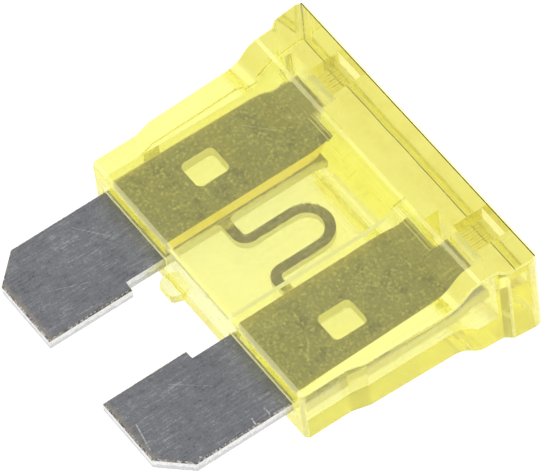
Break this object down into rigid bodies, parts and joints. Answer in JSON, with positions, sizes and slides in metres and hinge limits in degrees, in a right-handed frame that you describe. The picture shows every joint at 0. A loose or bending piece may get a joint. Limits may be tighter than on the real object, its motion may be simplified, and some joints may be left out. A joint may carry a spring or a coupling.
{
  "type": "automotive blade fuse",
  "caption": "Flat plug-in fuse: clear yellow moulded housing round a stamped zinc element with two blade terminals and a thin arched link.",
  "frame": {"origin": "middle of the fuse's outline, on the surface that it lies on", "axes": "+X across both blades, +Y from the blade tips towards the head, +Z through the thickness"},
  "size_m": [0.0182, 0.019, 0.0051],
  "materials": {
    "clear_plastic": "clear yellow moulding, polished",
    "zinc": "rolled zinc, fine lines along the blades"
  },
  "bodies": {
    "root": {"housing": "clear_plastic", "fuse_element": "zinc"}
  },
  "joints": []
}
